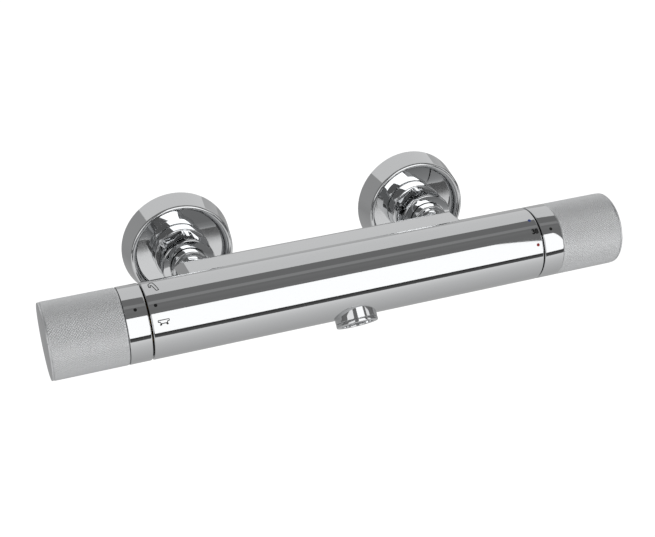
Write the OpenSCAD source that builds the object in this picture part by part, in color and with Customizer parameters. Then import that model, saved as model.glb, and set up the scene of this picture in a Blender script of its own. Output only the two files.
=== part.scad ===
// Wall-mounted thermostatic bar mixer tap for a bath with a hand shower.
// X runs along the bar, Y runs back into the wall, Z is up, and the wall is the plane Y = 0.
// The origin lies on the wall, midway between the two inlets. All lengths are in millimetres.

/* [Bar] */
// Outside diameter of the bar, its collars and its grips
bar_d = 42; // [40:0.5:50]
// Length of the polished body between its two handles
body_len = 227; // [210:1:280]
// Wall of the bar around the thermostat chamber
bar_wall = 4; // [3:0.25:5]
// Height of the flat top of the rear waterway above the bar's axis
gallery_top = 20; // [18:0.5:20.5]
// Depth of the rear waterway behind the bar's axis
gallery_back = 26; // [25:0.5:32]
// Drop of the rear waterway below the bar's axis
gallery_drop = 16; // [14:0.5:18]

/* [Handles] */
// Gap between the body and each collar
handle_gap = 0.7; // [0.4:0.1:1.5]
// Length of each polished collar
collar_len = 11.9; // [9:0.1:18]
// Thin line between a collar and its grip
line_gap = 0.3; // [0.2:0.1:0.8]
// Length of the flow handle's knurled grip
flow_grip_len = 39.8; // [34:0.2:60]
// Length of the temperature handle's knurled grip
temperature_grip_len = 37.2; // [34:0.2:60]
// Wall of the grip and collar sleeves
sleeve_wall = 2.2; // [1.5:0.1:3]
// Thickness of the end cap's visible rim
cap_rim = 1; // [0.6:0.1:2]
// Turn of the flow handle each way from closed, in degrees
flow_turn = 75; // [45:5:100]
// Turn of the temperature handle from 38 degrees to its hot stop
hot_turn = 60; // [30:5:80]
// Turn of the temperature handle from 38 degrees to its cold stop
cold_turn = 200; // [90:5:220]

/* [Inlets] */
// Distance between the hot and cold inlets
inlet_spacing = 150; // [145:1:160]
// Distance from the wall to the bar's axis
reach = 88; // [86:1:110]
// Offset of the eccentric wall thread below the union
union_offset = 6; // [0:0.5:7]
// Outside diameter of the wall threads and the hose thread, G1/2
half_thread_d = 20.955; // [18:0.005:24]
// Outside diameter of the union threads, G3/4
union_thread_d = 26.2; // [25:0.1:28]
// Diameter of the slim neck between the body and a union nut
neck_d = 17; // [16.6:0.2:19]
// Rear diameter of a wall rosette
rosette_d = 66.4; // [60:0.2:80]
// Depth of a wall rosette
rosette_depth = 15.6; // [14:0.2:20]
// Distance across the flats of a union nut
nut_af = 30; // [29:0.5:31]
// Diameter of the round skirt behind a union nut's flats
nut_skirt_d = 33.4; // [33:0.2:36]

/* [Outlets] */
// Forward tilt of the bath outlet, in degrees from straight down
spout_tilt = 36; // [25:1:42]
// Outside diameter of the bath outlet
spout_d = 23.6; // [23:0.2:28]
// How far the bath outlet's rim stands out from the bar
spout_len = 4.5; // [4:0.5:20]
// Distance of the bath outlet to the right of the middle
spout_side = 1; // [-5:0.5:5]
// Distance of the hand-shower outlet behind the bar's axis
nipple_back = 14; // [13:0.5:16]
// Distance of the hand-shower outlet to the right of the middle
nipple_side = 11; // [0:0.5:20]
// Length of the hand-shower outlet's thread
nipple_thread = 8.5; // [8:0.5:16]

/* [Clearances] */
// Radial clearance of a running shaft
run_gap = 0.05; // [0.02:0.01:0.1]
// Clearance between pieces that are fitted but don't run
fit_gap = 0.15; // [0.1:0.05:0.4]
// Clearance between pieces that move past each other
free_gap = 0.4; // [0.3:0.1:1]

/* [Hidden] */
$fn = 96;

// One overrun serves every cut
cut = 1;
bar_r = bar_d / 2;
half_body = body_len / 2;
hot = -1;
cold = 1;

// Edges and small wall values
edge = 0.4;
rim = 0.8;
gallery_round = 7;
gallery_end_wall = 15;
gallery_left_top = 10.5;
gallery_right_top = -2;

// Water ways inside the body; three of them run side by side along the bar to the ceramic discs
way_r = 3.3;
way_out = 6.4;
mixed_way = 0;
shower_way = 120;
bath_way = 240;
mixing_r = 8;
mixing_depth = 9;
hot_way_r = 4;
hot_way_back = 18.5;
hot_way_up = 6;
inlet_way_r = 5.5;
way_meet = 1;
inlet_meet = 2;
port_meet = 4;
outlet_way_start = 4;
socket_depth = 7;
socket_r = neck_d / 2 + edge;

// Thermostat chamber at the cold end of the bar
chamber_r = bar_r - bar_wall;
chamber_depth = 68;
chamber_floor = half_body - chamber_depth;

// Diverter chamber at the hot end of the bar
diverter_r = 13;
diverter_depth = 36;
diverter_floor = half_body - diverter_depth;

// Bath outlet and its aerator
spout_r = spout_d / 2;
spout_reach = bar_r + spout_len;
aerator_lip = 2.1;
aerator_thread_r = 10.3;
aerator_skirt = 8;
aerator_wall = 1.4;
aerator_room = 3.5;
spout_socket_depth = aerator_skirt + aerator_room;
honeycomb_inset = 1.2;
honeycomb_len = 7;
honeycomb_pitch = 2.8;
honeycomb_cell = 2.2;
honeycomb_rim = 1.6;
honeycomb_reach = 3;
washer_width = 3;
washer_thick = 2;

// Hand-shower outlet
nipple_boss_r = 11.8;
nipple_foot = bar_r + edge;
nipple_flange = 1.6;
nipple_flange_r = 11.2;
nipple_bore_r = 6.2;
nipple_spigot = 8;
nipple_spigot_r = 8.8;
nipple_seal_r = 0.8;

// Union stack, measured from the wall towards the bar
s_disc_start = 0.8;
s_disc_end = 4;
s_disc_af = 30;
s_disc_floor = 1;
s_bore_r = 8;
wall_bore_r = 7.5;
s_thread_end = 22.5;
wall_thread_len = 16;
filter_thick = 2.3;
strainer_set = 0.8;
strainer_thick = 0.6;
strainer_rings = 2;
strainer_pitch = 2.6;
strainer_hole_r = 0.9;
tail_flange_start = s_thread_end + filter_thick + 2 * fit_gap;
tail_flange_len = 3.2;
tail_flange_r = union_thread_d / 2 - edge;
nut_lip_start = tail_flange_start + tail_flange_len + fit_gap;
nut_lip = 3.2;
nut_front = nut_lip_start + nut_lip;
nut_hole_r = 11.3;
rosette_floor = 1.6;
rosette_floor_end = s_disc_end + fit_gap + rosette_floor;
nut_rear = rosette_floor_end + free_gap;
nut_step = 16.8;
nut_corner_r = 16;
nut_front_chamfer = 1.1;
hot_nut_turn = 20;
cold_nut_turn = 35;
tail_collar_r = nut_hole_r - free_gap;
tail_collar_len = 6;
tail_collar_end = nut_front + tail_collar_len;
tail_chamfer = 1;
body_back = reach - gallery_back;

// Check valve inside each inlet tail
valve_r = 7.5;
valve_len = 11;
valve_wall = 1.2;
valve_inset = 0.5;
valve_start = tail_flange_start + valve_inset;
valve_seat = 1.5;
valve_seat_r = 4.2;
valve_guide = 1.5;
valve_guide_r = 2.2;
valve_rib = 1.2;
poppet_r = 5.3;
poppet_thick = 1.6;
poppet_stem_r = 1.1;
poppet_stem_out = 1;
check_spring_r = 2.6;
check_spring_turns = 4;
tail_bore_r = 6.2;

// Rosette shell
rosette_r = rosette_d / 2;
rosette_wall = 1.3;
rosette_lip_r = 1.5;
rosette_taper = 2.3;
rosette_front_r = rosette_r - rosette_taper;
rosette_bore_r = union_thread_d / 2 + fit_gap;
rosette_floor_in = 0.5;
rosette_floor_r = nut_skirt_d / 2 + rosette_floor_in;
dish_bow = 1;
dish_lip_in = 0.9;
dish_lip_up = 0.75;

// Handle stack, measured outwards from the middle of the bar
collar_start = half_body + handle_gap;
collar_end = collar_start + collar_len;
grip_start = collar_end + line_gap;
sleeve_inner_r = bar_r - sleeve_wall;
core_r = sleeve_inner_r - fit_gap;
core_wall = 2;
core_inset = 1.2;
core_start = collar_start + core_inset;
core_short = 4;
core_hub_r = 7.2;
core_hub_inset = 0.5;
core_hub_floor = 2;
core_web_out = 18;
core_web_start = half_body + core_web_out;
core_web = 3;
spindle_r = 4;
spline_r = 4.8;
spline_teeth = 20;
spline_depth = 0.6;
spline_out = 16;
spline_len = 10;
spline_start = half_body + spline_out;
spline_end = spline_start + spline_len;
screw_r = 2;
screw_head_r = 3.6;
screw_head = 2.6;
screw_hole = 10;
screw_tip_gap = 1;
screw_key_af = 2.5;
screw_key_floor = 0.8;
cap_plug = 2.6;
cap_notch_count = 7;
cap_notch_r = 0.6;
cap_notch_first = 14;

// Stops that limit the turn of each handle
stop_out = 6;
stop_start = half_body + stop_out;
stop_len = 4;
stop_ring_inner_r = 9.2;
stop_ring_r = 12;
stop_lug_r = core_r - core_wall - free_gap;
core_lug_r = stop_ring_r + free_gap;
core_lug_start = stop_start - free_gap;
core_lug_width = 30;
stop_slack = 2;

// Thermostat pieces
housing_relief = 1.4;
housing_r = chamber_r - housing_relief;
housing_land_r = chamber_r - fit_gap;
housing_nose_r = mixing_r - fit_gap;
housing_nose = 5;
housing_nose_wall = 2;
housing_neck_r = stop_ring_inner_r - fit_gap;
housing_neck_out = 12;
housing_neck_end = half_body + housing_neck_out;
housing_head_af = 27;
housing_head = 5;
cavity_r = 10;
cavity_floor = 3;
cavity_start = chamber_floor + cavity_floor;
cavity_roof = 14;
cavity_end = half_body - cavity_roof;
port_r = 2.2;
port_count = 8;
hot_port_in = 6;
hot_port = chamber_floor + hot_port_in;
cold_port_shift = 1;
cold_port = inlet_spacing / 2 + cold_port_shift;
land_half = 2.5;
head_land = 10;
outer_land = 8;
seal_r = 1.3;
shuttle_r = cavity_r - run_gap;
shuttle_stroke = 1;
shuttle_start = hot_port + port_r + shuttle_stroke;
shuttle_end = cold_port - port_r - shuttle_stroke;
shuttle_wall = 1.6;
spoke_width = 1.6;
spoke_len = 4;
element_r = 4.2;
element_tail = 4;
element_start = shuttle_start - element_tail;
element_flange_gap = 2;
element_flange_start = shuttle_end + element_flange_gap;
element_flange = 3;
element_flange_r = 5.8;
piston_r = 1.6;
piston_seat = 1.5;
carriage_room = 3;
carriage_len = 6;
carriage_end = cavity_end - carriage_room;
carriage_start = carriage_end - carriage_len;
carriage_tip = 3;
key_width = 4;
key_depth = 1.4;
key_run = 3;
spindle_thread_r = 3;
spindle_shoulder = 1;
thermostat_spring_turns = 3;

// Ceramic discs of the diverter
disc_r = 11.2;
seal_thick = 1.8;
disc_thick = 3.2;
disc_hole_r = 2.8;
disc_pocket_turn = 130;
diverter_seal_r = 0.8;
disc_stack = diverter_floor + fit_gap;
fixed_disc_start = disc_stack + seal_thick + fit_gap;
moving_disc_start = fixed_disc_start + disc_thick + run_gap;
carrier_start = moving_disc_start + disc_thick + fit_gap;
carrier_len = 4;
lock_nut_len = 7;
lock_nut_start = half_body - lock_nut_len;
lock_nut_af = 24;
lock_nut_head = 5;
diverter_seal_in = 6;
diverter_seal_at = lock_nut_start - diverter_seal_in;

// Spring wire
wire_r = 0.35;
spring_sides = 6;
spring_steps = 10;

// Colours
chrome = [0.80, 0.81, 0.83];
knurled = [0.68, 0.69, 0.70];
brass = [0.75, 0.62, 0.33];
rubber_black = [0.12, 0.12, 0.13];
plastic_white = [0.90, 0.90, 0.88];
plastic_grey = [0.45, 0.46, 0.48];
ceramic_white = [0.93, 0.92, 0.88];
steel = [0.62, 0.63, 0.65];

// Places a piece on the bar: its Z axis runs outwards along the bar from the middle
module on_bar(side) translate([0, -reach, 0]) rotate([0, side * 90, 0]) children();

// Places a piece on an inlet: its Z axis runs from the wall towards the bar
module on_inlet(side) translate([side * inlet_spacing / 2, 0, 0]) rotate([90, 0, 0]) children();

// Places a piece on the bath outlet: its Z axis runs from the bar's axis out of the spout
module on_spout() translate([spout_side, -reach, 0]) rotate([180 - spout_tilt, 0, 0]) children();

// Places a piece on the hand-shower outlet: its Z axis runs straight down
module on_nipple() translate([nipple_side, -reach + nipple_back, 0]) rotate([180, 0, 0]) children();

// The angle, on a bar piece, of a place that is so many degrees from the top towards the front
function bar_angle(side, from_top) = side == hot ? -from_top : 180 + from_top;

// Where a grip ends, and where its handle ends
function grip_end(side) = grip_start + (side == hot ? flow_grip_len : temperature_grip_len);
function handle_end(side) = grip_end(side) + cap_rim;

// A round rod from one height to another
module rod(r, from, to) translate([0, 0, from]) cylinder(r = r, h = to - from);

// A round tube from one height to another
module tube(outer, inner, from, to) {
    translate([0, 0, from]) linear_extrude(to - from) difference() {
        circle(r = outer);
        circle(r = inner);
    }
}

// A rod with both rims chamfered
module chamfered_rod(r, from, to, chamfer) {
    rotate_extrude() polygon([
        [0, from], [r - chamfer, from], [r, from + chamfer],
        [r, to - chamfer], [r - chamfer, to], [0, to]
    ]);
}

// A prism with six flats, measured across them
module hexagon(across, from, to) {
    translate([0, 0, from]) cylinder(r = across / sqrt(3), h = to - from, $fn = 6);
}

// A seal of round section whose outside has the radius given
module o_ring(outer, section, at) translate([0, 0, at]) rotate_extrude()
    translate([outer - section, 0]) circle(r = section);

// The square groove that takes such a seal
module groove(outer, section, at) {
    half = section + run_gap;
    tube(outer + cut, outer - 2 * section - run_gap, at - half, at + half);
}

// A sector of a ring, centred on an angle
module ring_sector(outer, inner, from, to, middle, width) {
    translate([0, 0, from]) rotate([0, 0, middle - width / 2])
        rotate_extrude(angle = width) translate([inner, 0]) square([outer - inner, to - from]);
}

// A coil spring as one unbroken tube: rings of points along a helix, joined by triangles
module coil(r, from, to, turns) {
    rings = turns * spring_steps;
    pitch = (to - from - 2 * wire_r) / turns;
    points = [
        for (i = [0:rings], j = [0:spring_sides - 1])
            let (
                around = i * 360 / spring_steps,
                tilt = j * 360 / spring_sides,
                out = r + wire_r * cos(tilt)
            )
            [out * cos(around), out * sin(around), from + wire_r + i * pitch / spring_steps + wire_r * sin(tilt)]
    ];
    walls = [
        for (i = [0:rings - 1], j = [0:spring_sides - 1])
            let (
                a = i * spring_sides + j,
                b = i * spring_sides + (j + 1) % spring_sides
            )
            each [[a, a + spring_sides, b], [b, a + spring_sides, b + spring_sides]]
    ];
    near_end = [for (j = [1:spring_sides - 2]) [0, j, j + 1]];
    last = rings * spring_sides;
    far_end = [for (j = [1:spring_sides - 2]) [last, last + j + 1, last + j]];
    polyhedron(points, concat(walls, near_end, far_end));
}

// The rear waterway's section: a block with rounded corners, built on the bar's axis
module gallery_section() {
    low = -gallery_drop;
    far = gallery_back - gallery_round;
    translate([0, low]) square([far, gallery_top - low]);
    translate([0, low + gallery_round]) square([gallery_back, gallery_top - low - 2 * gallery_round]);
    for (z = [low + gallery_round, gallery_top - gallery_round])
        translate([far, z]) circle(r = gallery_round);
}

// The rear waterway seen from the front: its top is shorter than its foot and slopes down at the ends
module gallery_outline() {
    half = inlet_spacing / 2;
    left = half + gallery_left_top;
    right = half + gallery_right_top;
    foot = half + gallery_end_wall;
    polygon([
        [-foot, -gallery_drop], [foot, -gallery_drop], [foot, gallery_top - (foot - right)],
        [right, gallery_top], [-left, gallery_top], [-foot, gallery_top - (foot - left)]
    ]);
}

module gallery() {
    half = inlet_spacing / 2 + gallery_end_wall;
    intersection() {
        translate([-half, -reach, 0]) rotate([90, 0, 90]) linear_extrude(2 * half) gallery_section();
        translate([0, -reach + gallery_back + cut, 0]) rotate([90, 0, 0])
            linear_extrude(gallery_back + 2 * cut) gallery_outline();
    }
}

// The ways that bring the hot and the cold water from the inlets to the thermostat chamber
module inlet_ways() {
    for (side = [hot, cold]) on_inlet(side) rod(socket_r, body_back - cut, body_back + socket_depth);
    on_inlet(hot) rod(inlet_way_r, body_back, reach - hot_way_back + hot_way_r - way_meet);
    on_inlet(cold) rod(inlet_way_r, body_back, reach - chamber_r + inlet_meet);
    translate([-inlet_spacing / 2, -reach + hot_way_back, hot_way_up]) {
        rotate([0, 90, 0]) rod(hot_way_r, 0, inlet_spacing / 2 + hot_port + edge);
        translate([inlet_spacing / 2 + hot_port - way_r, 0, 0]) rotate([90, 0, 0])
            rod(way_r, 0, hot_way_back - chamber_r + port_meet);
    }
}

// The chambers for the two cartridges and the three ways between them
module cartridge_ways() {
    on_bar(cold) rod(chamber_r, chamber_floor, half_body + cut);
    on_bar(cold) rod(mixing_r, chamber_floor - mixing_depth, chamber_floor + cut);
    on_bar(hot) rod(diverter_r, diverter_floor, half_body + cut);
    on_bar(hot) rotate([0, 0, mixed_way]) translate([way_out, 0, 0])
        rod(way_r, -chamber_floor + mixing_depth - cut, diverter_floor + cut);
    for (way = [[bath_way, spout_side], [shower_way, nipple_side]])
        on_bar(hot) rotate([0, 0, way[0]]) translate([way_out, 0, 0])
            rod(way_r, -way[1] - way_r - edge, diverter_floor + cut);
}

// The ways down to the bath outlet and to the hand-shower outlet
module outlet_ways() {
    side_way = [way_out * sin(shower_way), way_out * cos(shower_way)];
    on_spout() {
        rod(inlet_way_r, outlet_way_start, spout_reach);
        rod(aerator_thread_r + fit_gap, spout_reach - aerator_lip - spout_socket_depth, spout_reach + cut);
    }
    translate([nipple_side, -reach + side_way[0], side_way[1]]) rotate([-90, 0, 0])
        rod(way_r, 0, nipple_back - side_way[0]);
    on_nipple() {
        rod(inlet_way_r, -side_way[1] - way_r / 2, nipple_foot + cut);
        rod(nipple_spigot_r + fit_gap, nipple_foot - nipple_spigot, nipple_foot + cut);
    }
}

module mixer_body() color(chrome) difference() {
    union() {
        on_bar(cold) chamfered_rod(bar_r, -half_body, half_body, rim);
        gallery();
        on_spout() rod(spout_r, 0, spout_reach - aerator_lip - fit_gap);
        on_nipple() rod(nipple_boss_r, 0, nipple_foot);
    }
    inlet_ways();
    cartridge_ways();
    outlet_ways();
}

// Aerator ring: a lip that closes the bath outlet and a threaded skirt inside it
module aerator_housing() color(chrome) on_spout() difference() {
    lip = spout_reach - aerator_lip;
    union() {
        chamfered_rod(spout_r, lip, spout_reach, edge);
        rod(aerator_thread_r, lip - aerator_skirt, lip + edge);
    }
    rod(aerator_thread_r - aerator_wall, lip - aerator_skirt - cut, spout_reach + cut);
}

// Honeycomb insert that breaks the stream into fine jets
module aerator_insert() color(plastic_grey) on_spout() {
    outer = aerator_thread_r - aerator_wall - fit_gap;
    bottom = spout_reach - honeycomb_inset;
    top = bottom - honeycomb_len;
    difference() {
        rod(outer, top, bottom);
        for (i = [-honeycomb_reach:honeycomb_reach], j = [-honeycomb_reach:honeycomb_reach]) {
            x = honeycomb_pitch * (i + j / 2);
            y = honeycomb_pitch * j * sin(60);
            if (norm([x, y]) < outer - honeycomb_rim)
                translate([x, y, 0]) hexagon(honeycomb_cell, top - cut, bottom + cut);
        }
    }
}

module aerator_washer() color(rubber_black) on_spout() {
    top = spout_reach - aerator_lip - aerator_skirt;
    tube(aerator_thread_r, aerator_thread_r - washer_width, top - washer_thick, top - fit_gap);
}

// Hand-shower outlet: a flanged nipple screwed into the boss under the rear waterway
module hose_nipple() color(chrome) on_nipple() difference() {
    seat = nipple_foot + fit_gap;
    tip = seat + nipple_flange + nipple_thread;
    union() {
        rod(nipple_spigot_r, seat - nipple_spigot + edge, seat + edge);
        chamfered_rod(nipple_flange_r, seat, seat + nipple_flange, edge / 2);
        chamfered_rod(half_thread_d / 2, seat + nipple_flange - edge, tip, edge);
    }
    rod(nipple_bore_r, 0, tip + cut);
    groove(nipple_spigot_r, nipple_seal_r, seat - nipple_spigot / 2);
}

module hose_nipple_o_ring() color(rubber_black) on_nipple()
    o_ring(nipple_spigot_r + run_gap, nipple_seal_r, nipple_foot + fit_gap - nipple_spigot / 2);

// Inlet tail: threaded spigot, slim neck, thicker collar and the flange that a union nut pulls on
module inlet_tail(side) color(chrome) on_inlet(side) difference() {
    union() {
        rod(socket_r - fit_gap, body_back - edge, body_back + socket_depth - fit_gap);
        rod(neck_d / 2, tail_collar_end - edge, body_back);
        chamfered_rod(tail_collar_r, tail_flange_start + tail_flange_len - edge, tail_collar_end, tail_chamfer);
        rod(tail_flange_r, tail_flange_start, tail_flange_start + tail_flange_len);
    }
    rod(tail_bore_r, tail_flange_start - cut, body_back + socket_depth + cut);
    rod(valve_r + fit_gap, tail_flange_start - cut, valve_start + valve_len + fit_gap);
}

// Union nut: a hexagon with its corners turned off, and a round skirt that reaches into the rosette
module union_nut(side) color(chrome) on_inlet(side)
    rotate([0, 0, side == hot ? hot_nut_turn : cold_nut_turn]) difference() {
    union() {
        chamfered_rod(nut_skirt_d / 2, nut_rear, nut_step, rim);
        intersection() {
            hexagon(nut_af, nut_step - edge, nut_front);
            chamfered_rod(nut_corner_r, nut_rear, nut_front, nut_front_chamfer);
        }
    }
    rod(nut_hole_r, nut_rear - cut, nut_front + cut);
    rod(union_thread_d / 2 + fit_gap, nut_rear - cut, nut_lip_start);
}

// Rubber washer with a perforated strainer across it
module inlet_filter(side) color(rubber_black) on_inlet(side) {
    start = s_thread_end + fit_gap;
    tube(tail_flange_r, s_bore_r, start, start + filter_thick);
    difference() {
        rod(s_bore_r + fit_gap, start + strainer_set, start + strainer_set + strainer_thick);
        rod(strainer_hole_r, start, start + filter_thick);
        for (ring = [1:strainer_rings], k = [1:6 * ring])
            rotate([0, 0, k * 60 / ring]) translate([ring * strainer_pitch, 0, 0])
                rod(strainer_hole_r, start, start + filter_thick);
    }
}

// Eccentric union: the wall thread, a hexagonal disc and the thread for the rosette and the nut
module s_union(side) color(chrome) on_inlet(side) difference() {
    union() {
        translate([0, -union_offset, 0]) rod(half_thread_d / 2, -wall_thread_len, s_disc_start + edge);
        translate([0, -union_offset / 2, 0]) hexagon(s_disc_af + union_offset, s_disc_start, s_disc_end);
        chamfered_rod(union_thread_d / 2, s_disc_end - edge, s_thread_end, rim);
    }
    translate([0, -union_offset, 0]) rod(wall_bore_r, -wall_thread_len - cut, s_disc_end);
    rod(s_bore_r, s_disc_start + s_disc_floor, s_thread_end + cut);
}

// Rosette: a thin cup with a slightly tapered side, a rolled lip and a front dished down to its flat floor
module rosette(side) color(chrome) on_inlet(side) rotate_extrude() rosette_section();

// Centre of the arc that bows the dish between two points of the section
function arc_centre(a, b, bow) =
    let (
        chord = b - a,
        half = norm(chord) / 2,
        radius = (half * half + bow * bow) / (2 * bow),
        normal = [-chord[1], chord[0]] / norm(chord)
    )
    [(a + b) / 2 + normal * (radius - bow), radius];

module rosette_section() {
    lip_at = [rosette_front_r - rosette_lip_r, rosette_depth - rosette_lip_r];
    dish_out = lip_at + [-dish_lip_in, dish_lip_up];
    dish_in = [rosette_floor_r - edge, rosette_floor_end];
    dish = arc_centre(dish_in, dish_out, dish_bow);
    polygon([
        [rosette_r, 0], [rosette_front_r, rosette_depth - rosette_lip_r],
        [rosette_front_r - rosette_wall, rosette_depth - rosette_lip_r], [rosette_r - rosette_wall, 0]
    ]);
    translate(lip_at) circle(r = rosette_lip_r);
    intersection() {
        translate(dish[0]) difference() {
            circle(r = dish[1] + rosette_wall);
            circle(r = dish[1]);
        }
        translate([dish_in[0], 0]) square([lip_at[0] - dish_in[0], rosette_depth]);
    }
    translate([rosette_bore_r, s_disc_end + fit_gap]) square([rosette_floor_r - rosette_bore_r, rosette_floor]);
}

// Check valve cage: a seat towards the wall and a guide for the poppet's stem
module check_valve(side) color(plastic_white) on_inlet(side) {
    end = valve_start + valve_len;
    tube(valve_r, valve_r - valve_wall, valve_start, end);
    tube(valve_r - valve_wall + fit_gap, valve_seat_r, valve_start, valve_start + valve_seat);
    difference() {
        union() {
            rod(valve_guide_r, end - valve_guide, end);
            for (k = [0:2]) rotate([0, 0, 120 * k]) translate([0, -valve_rib / 2, end - valve_guide])
                cube([valve_r - valve_wall / 2, valve_rib, valve_guide]);
        }
        rod(poppet_stem_r + run_gap, end - valve_guide - cut, end + cut);
    }
}

module check_poppet(side) color(plastic_grey) on_inlet(side) {
    start = valve_start + valve_seat + run_gap;
    rod(poppet_r, start, start + poppet_thick);
    rod(poppet_stem_r, start + poppet_thick / 2, valve_start + valve_len - valve_guide + poppet_stem_out);
}

module check_spring(side) color(steel) on_inlet(side)
    coil(check_spring_r, valve_start + valve_seat + poppet_thick + 2 * fit_gap,
        valve_start + valve_len - valve_guide - fit_gap, check_spring_turns);

// Thermostat housing: nose in the mixing way, sealed lands in the chamber, head and neck outside
module thermostat_housing() color(brass) on_bar(cold) difference() {
    union() {
        rod(housing_nose_r, chamber_floor - housing_nose, chamber_floor + cut);
        rod(housing_r, chamber_floor + fit_gap, half_body);
        for (at = land_places()) rod(housing_land_r, at - land_half, at + land_half);
        rod(housing_land_r, half_body - head_land, half_body);
        hexagon(housing_head_af, half_body - edge, half_body + housing_head);
        rod(housing_neck_r, half_body, housing_neck_end);
    }
    rod(cavity_r, cavity_start, cavity_end);
    keys(cavity_r + key_depth, key_width, carriage_start - key_run, cavity_end);
    rod(housing_nose_r - housing_nose_wall, chamber_floor - housing_nose - cut, cavity_start + cut);
    rod(spindle_r + run_gap, cavity_end - cut, housing_neck_end + cut);
    for (at = [hot_port, cold_port], k = [0:port_count - 1])
        rotate([0, 0, k * 360 / port_count]) translate([0, 0, at]) rotate([0, 90, 0])
            rod(port_r, cavity_r - cut, chamber_r + cut);
    for (at = land_places()) groove(housing_land_r, seal_r, at);
}

// Places of the two seals: between the hot and cold ports, and outside the cold port
function land_places() = [(hot_port + cold_port) / 2, cold_port + port_r + outer_land];

module thermostat_o_rings() color(rubber_black) on_bar(cold)
    for (at = land_places()) o_ring(housing_land_r + run_gap, seal_r, at);

// Stop ring on a cartridge neck: its lug fills what the handle's turn and lug leave free
module stop_ring(side, forward, back) color(plastic_white) on_bar(side) {
    travel = forward + back;
    width = 360 - travel - core_lug_width - 2 * stop_slack;
    tube(stop_ring_r, stop_ring_inner_r, stop_start, stop_start + stop_len);
    ring_sector(stop_lug_r, stop_ring_r - edge, stop_start, stop_start + stop_len,
        180 + (forward - back) / 2, width);
}

// Shuttle that slides between the hot and the cold seat, with spokes to the wax element
module thermostat_shuttle() color(plastic_white) on_bar(cold) {
    middle = (shuttle_start + shuttle_end) / 2;
    tube(shuttle_r, shuttle_r - shuttle_wall, shuttle_start, shuttle_end);
    difference() {
        for (k = [0:2]) rotate([0, 0, 60 * k])
            translate([-shuttle_r + shuttle_wall / 2, -spoke_width / 2, middle - spoke_len / 2])
                cube([2 * shuttle_r - shuttle_wall, spoke_width, spoke_len]);
        rod(element_r + fit_gap, middle - spoke_len / 2 - cut, middle + spoke_len / 2 + cut);
    }
}

module wax_element() color(brass) on_bar(cold) {
    flange_end = element_flange_start + element_flange;
    rod(element_r, element_start, element_flange_start + edge);
    chamfered_rod(element_flange_r, element_flange_start, flange_end, edge);
    rod(piston_r, flange_end - edge, carriage_start + piston_seat);
}

// Two keys across a bore, on opposite sides
module keys(r, width, from, to) translate([-r, -width / 2, from]) cube([2 * r, width, to - from]);

// Nut that the spindle's thread moves along the cartridge, with keys that keep it from turning
module adjusting_nut() color(brass) on_bar(cold) difference() {
    union() {
        rod(cavity_r - free_gap, carriage_start, carriage_end);
        keys(cavity_r + key_depth - free_gap, key_width - 2 * fit_gap, carriage_start, carriage_end);
    }
    rod(spindle_thread_r + run_gap, carriage_start + carriage_tip - edge, carriage_end + cut);
    rod(piston_r + run_gap, carriage_start - cut, carriage_start + carriage_tip);
}

module thermostat_spring() color(steel) on_bar(cold)
    coil(shuttle_r - shuttle_wall, cavity_start + fit_gap, shuttle_start - fit_gap, thermostat_spring_turns);

// A splined shaft: round teeth at even steps
module spline(from, to) {
    translate([0, 0, from]) linear_extrude(to - from) polygon([
        for (k = [0:2 * spline_teeth - 1])
            let (r = k % 2 == 0 ? spline_r : spline_r - spline_depth)
            r * [cos(k * 180 / spline_teeth), sin(k * 180 / spline_teeth)]
    ]);
}

module temperature_spindle() color(brass) on_bar(cold) difference() {
    union() {
        rod(spindle_thread_r, carriage_start + carriage_tip, cavity_end);
        rod(spindle_r, cavity_end - spindle_shoulder, spline_start + edge);
        spline(spline_start, spline_end);
    }
    rod(screw_r, spline_end - screw_hole, spline_end + cut);
}

// Polished collar next to the body
module collar(side) color(chrome) on_bar(side) difference() {
    chamfered_rod(bar_r, collar_start, collar_end, edge);
    rod(sleeve_inner_r, collar_start - cut, collar_end + cut);
}

// Knurled grip sleeve; the knurling itself is a surface texture
module grip(side) color(knurled) on_bar(side) difference() {
    chamfered_rod(bar_r, grip_start, grip_end(side), edge);
    rod(sleeve_inner_r, grip_start - cut, grip_end(side) + cut);
}

// Plastic core: a drum inside the sleeves, a web, a splined hub and the stop lug
module core(side) color(plastic_grey) on_bar(side) difference() {
    union() {
        tube(core_r, core_r - core_wall, core_start, grip_end(side) - core_short);
        rod(core_r - core_wall / 2, core_web_start, core_web_start + core_web);
        rod(core_hub_r, spline_start + core_hub_inset, spline_end + core_hub_floor);
        ring_sector(core_r - core_wall / 2, core_lug_r, core_lug_start, core_web_start + edge, 0, core_lug_width);
    }
    spline_socket();
    rod(screw_r + free_gap, spline_end - cut, spline_end + core_hub_floor + cut);
}

module spline_socket() rod(spline_r + run_gap, spline_start - cut, spline_end + fit_gap);

// End cap: a thin disc over the grip's end with a plug inside the sleeve and small notches in its rim
module cap(side) color(chrome) on_bar(side) difference() {
    union() {
        chamfered_rod(bar_r - edge / 2, grip_end(side) + run_gap, handle_end(side), edge / 2);
        tube(core_r, core_r - core_wall, grip_end(side) - cap_plug, grip_end(side) + edge);
    }
    for (k = [0:cap_notch_count - 1])
        rotate([0, 0, bar_angle(side, cap_notch_first + k * 360 / cap_notch_count)])
            translate([bar_r, 0, 0]) rod(cap_notch_r, grip_end(side) + cap_rim / 2, handle_end(side) + cut);
}

// Screw that holds a handle on its spindle
module handle_screw(side) color(steel) on_bar(side) {
    seat = spline_end + core_hub_floor + fit_gap;
    rod(screw_r - fit_gap, spline_end - screw_hole + screw_tip_gap, seat + edge);
    difference() {
        rod(screw_head_r, seat, seat + screw_head);
        hexagon(screw_key_af, seat + screw_key_floor, seat + screw_head + cut);
    }
}

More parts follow.
